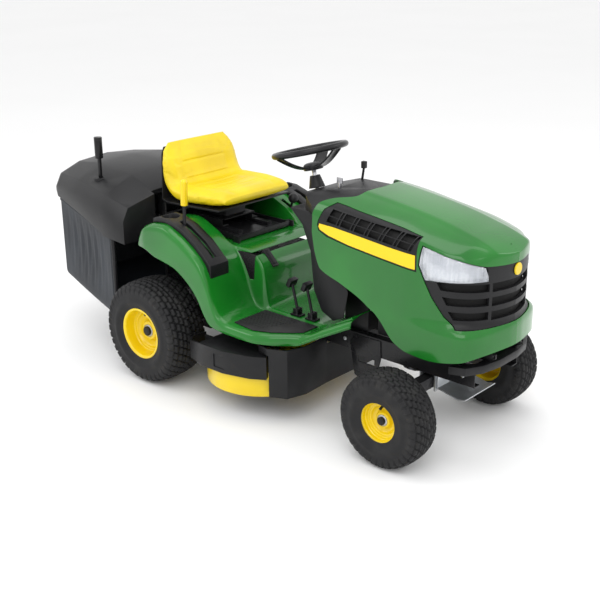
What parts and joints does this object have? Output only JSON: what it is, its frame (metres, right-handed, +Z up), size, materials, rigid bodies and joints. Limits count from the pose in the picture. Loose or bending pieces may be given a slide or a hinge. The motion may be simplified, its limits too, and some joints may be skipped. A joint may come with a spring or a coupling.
{
  "type": "riding lawn mower",
  "caption": "Rear-collect riding lawn mower: hinged hood, steered front axle, tipping seat, height-adjustable cutting deck and a lift-up grass catcher.",
  "frame": {"origin": "on the ground in the middle of the overall length and width", "axes": "+X forward, +Y to the driver's left, +Z up"},
  "size_m": [2.392, 0.9902, 1.0836],
  "materials": {
    "green_body": "gloss moulded green",
    "yellow_seat": "grained yellow vinyl",
    "yellow_metal": "yellow enamel",
    "yellow_deck": "yellow enamel",
    "yellow_grip": "moulded yellow",
    "yellow_decal": "printed film",
    "black_plastic": "fine grained black",
    "black_metal": "black enamel",
    "black_rubber": "ribbed mat",
    "grey_fabric": "coated woven cloth",
    "tyre_rubber": "turf tread",
    "belt_rubber": "belt",
    "steel": "plain steel",
    "cast": "cast",
    "alloy": "cast alloy",
    "lens": "lamp with bright reflector",
    "tank": "translucent tank plastic"
  },
  "bodies": {
    "chassis": {"frame_rails": "black_metal", "rear_plate_and_catcher_mount": "black_metal", "front_crossmember": "black_metal", "frame_bolts": "steel", "front_bumper": "black_plastic", "transaxle_housing": "alloy", "drive_belt_and_idlers": "belt_rubber", "engine": "cast", "battery_and_wiring": "black_plastic", "fuel_tank": "tank", "discharge_chute": "black_plastic", "fender_body": "green_body", "lever_consoles": "black_plastic", "foot_mats": "black_rubber", "fuel_sight_window": "black_plastic", "dash_tower": "black_plastic", "dash_top": "black_plastic", "control_brackets": "black_metal"},
    "front_axle": {"front_axle_beam": "cast"},
    "knuckle_left": {"steering_knuckle_left": "black_metal"},
    "knuckle_right": {"steering_knuckle_right": "black_metal"},
    "tie_rod": {"tie_rod": "steel"},
    "front_wheel_left": {"front_rim_left": "yellow_metal", "front_tyre_left": "tyre_rubber"},
    "front_wheel_right": {"front_rim_right": "yellow_metal", "front_tyre_right": "tyre_rubber"},
    "rear_wheel_left": {"rear_rim_and_shaft_left": "yellow_metal", "rear_tyre_left": "tyre_rubber"},
    "rear_wheel_right": {"rear_rim_and_shaft_right": "yellow_metal", "rear_tyre_right": "tyre_rubber"},
    "steering": {"steering_wheel": "black_plastic", "steering_shaft": "steel"},
    "hood": {"hood": "green_body", "hood_decals": "yellow_decal", "grille_and_vents": "black_plastic", "headlights": "lens"},
    "seat_frame": {"seat_base": "black_metal"},
    "seat": {"seat_pan_and_slide": "black_plastic", "seat_cushion": "yellow_seat"},
    "deck": {"mower_deck": "yellow_deck", "spindle_housings": "cast", "blade_timing_belt": "belt_rubber", "deck_covers": "black_plastic"},
    "blade_left": {"blade_left": "steel"},
    "blade_right": {"blade_right": "steel"},
    "engine_pulley": {"engine_pulley": "steel"},
    "transaxle_pulley": {"transaxle_pulley": "steel"},
    "lift_lever": {"lift_lever": "black_metal", "lift_lever_grip": "yellow_grip"},
    "blade_lever": {"blade_lever": "black_plastic"},
    "throttle_lever": {"throttle_lever": "black_plastic"},
    "ignition_key": {"ignition_key": "steel"},
    "fuel_cap": {"fuel_cap": "black_plastic"},
    "forward_pedal": {"forward_pedal": "black_plastic"},
    "reverse_pedal": {"reverse_pedal": "black_plastic"},
    "brake_pedal": {"brake_pedal": "black_plastic"},
    "catcher": {"catcher_cover": "black_plastic", "catcher_bag": "grey_fabric", "catcher_frame": "black_metal"},
    "tip_lever": {"tip_lever": "black_plastic"}
  },
  "joints": [
    {"name": "steering", "type": "hinge", "parent": "chassis", "child": "steering", "pos_m": [0.192, 0, 1.034], "axis": [-0.2487, 0, 0.9686], "range_deg": [-270, 270]},
    {"name": "front_axle_pivot", "type": "hinge", "parent": "chassis", "child": "front_axle", "pos_m": [0.885, 0, 0.25], "axis": [1, 0, 0], "range_deg": [-5, 5]},
    {"name": "kingpin_left", "type": "hinge", "parent": "front_axle", "child": "knuckle_left", "pos_m": [0.885, 0.262, 0.25], "axis": [0, 0, 1], "range_deg": [-30, 30]},
    {"name": "kingpin_right", "type": "hinge", "parent": "front_axle", "child": "knuckle_right", "pos_m": [0.885, -0.262, 0.25], "axis": [0, 0, 1], "range_deg": [-30, 30]},
    {"name": "tie_rod_pivot", "type": "hinge", "parent": "knuckle_left", "child": "tie_rod", "pos_m": [0.801, 0.262, 0.18], "axis": [0, 0, 1], "range_deg": [-30, 30]},
    {"name": "front_wheel_left_spin", "type": "hinge", "parent": "knuckle_left", "child": "front_wheel_left", "pos_m": [0.885, 0.36, 0.188], "axis": [0, 1, 0], "continuous": true},
    {"name": "front_wheel_right_spin", "type": "hinge", "parent": "knuckle_right", "child": "front_wheel_right", "pos_m": [0.885, -0.36, 0.188], "axis": [0, 1, 0], "continuous": true},
    {"name": "rear_wheel_left_spin", "type": "hinge", "parent": "chassis", "child": "rear_wheel_left", "pos_m": [-0.37, 0.388, 0.228], "axis": [0, 1, 0], "continuous": true},
    {"name": "rear_wheel_right_spin", "type": "hinge", "parent": "chassis", "child": "rear_wheel_right", "pos_m": [-0.37, -0.388, 0.228], "axis": [0, 1, 0], "continuous": true},
    {"name": "hood_hinge", "type": "hinge", "parent": "chassis", "child": "hood", "pos_m": [1.164, 0, 0.424], "axis": [0, 1, 0], "range_deg": [0, 60]},
    {"name": "seat_tilt", "type": "hinge", "parent": "chassis", "child": "seat_frame", "pos_m": [-0.077, 0, 0.641], "axis": [0, 1, 0], "range_deg": [0, 45]},
    {"name": "seat_slide", "type": "slide", "parent": "seat_frame", "child": "seat", "axis": [1, 0, 0], "range_m": [0, 0.08]},
    {"name": "lift_lever_pivot", "type": "hinge", "parent": "chassis", "child": "lift_lever", "pos_m": [-0.22, -0.262, 0.405], "axis": [0, 1, 0], "range_deg": [0, 36]},
    {"name": "deck_height", "type": "slide", "parent": "chassis", "child": "deck", "axis": [0, 0, 1], "range_m": [-0.07, 0]},
    {"name": "blade_left_spin", "type": "hinge", "parent": "deck", "child": "blade_left", "pos_m": [0.135, 0.228, 0.122], "axis": [0, 0, 1], "continuous": true},
    {"name": "blade_right_spin", "type": "hinge", "parent": "deck", "child": "blade_right", "pos_m": [0.135, -0.228, 0.122], "axis": [0, 0, 1], "continuous": true},
    {"name": "engine_pulley_spin", "type": "hinge", "parent": "chassis", "child": "engine_pulley", "pos_m": [0.76, 0, 0.312], "axis": [0, 0, 1], "continuous": true},
    {"name": "transaxle_pulley_spin", "type": "hinge", "parent": "chassis", "child": "transaxle_pulley", "pos_m": [-0.37, 0, 0.312], "axis": [0, 0, 1], "continuous": true},
    {"name": "blade_lever_pivot", "type": "hinge", "parent": "chassis", "child": "blade_lever", "pos_m": [-0.174, 0.244, 0.6], "axis": [0, 1, 0], "range_deg": [-20, 0]},
    {"name": "throttle_pivot", "type": "hinge", "parent": "chassis", "child": "throttle_lever", "pos_m": [0.365, 0.12, 0.895], "axis": [0, 1, 0], "range_deg": [-25, 0]},
    {"name": "ignition_key_turn", "type": "hinge", "parent": "chassis", "child": "ignition_key", "pos_m": [0.4, -0.06, 0.92], "axis": [0, 0, 1], "range_deg": [0, 60]},
    {"name": "fuel_cap_turn", "type": "hinge", "parent": "chassis", "child": "fuel_cap", "pos_m": [-0.278, 0.254, 0.735], "axis": [0, 0, 1], "range_deg": [0, 90]},
    {"name": "forward_pedal_pivot", "type": "hinge", "parent": "chassis", "child": "forward_pedal", "pos_m": [0.365, -0.186, 0.413], "axis": [0, 1, 0], "range_deg": [0, 15], "stiffness_Nm_per_rad": 12},
    {"name": "reverse_pedal_pivot", "type": "hinge", "parent": "chassis", "child": "reverse_pedal", "pos_m": [0.285, -0.186, 0.413], "axis": [0, 1, 0], "range_deg": [0, 15], "stiffness_Nm_per_rad": 12},
    {"name": "brake_pedal_pivot", "type": "hinge", "parent": "chassis", "child": "brake_pedal", "pos_m": [0.365, 0.186, 0.413], "axis": [0, 1, 0], "range_deg": [0, 15], "stiffness_Nm_per_rad": 20},
    {"name": "catcher_pivot", "type": "hinge", "parent": "chassis", "child": "catcher", "pos_m": [-0.55, 0, 0.77], "axis": [0, 1, 0], "range_deg": [0, 70]},
    {"name": "tip_lever_slide", "type": "slide", "parent": "catcher", "child": "tip_lever", "axis": [0, 0, 1], "range_m": [0, 0.2]}
  ],
  "couplings": [
    {"joint": "kingpin_left", "follows": "steering", "ratio": 0.1111},
    {"joint": "kingpin_right", "follows": "steering", "ratio": 0.1111},
    {"joint": "tie_rod_pivot", "follows": "steering", "ratio": -0.1111},
    {"joint": "deck_height", "follows": "lift_lever_pivot", "m_per_rad": -0.1114},
    {"joint": "blade_right_spin", "follows": "blade_left_spin", "ratio": 1},
    {"joint": "transaxle_pulley_spin", "follows": "engine_pulley_spin", "ratio": 1.087}
  ]
}
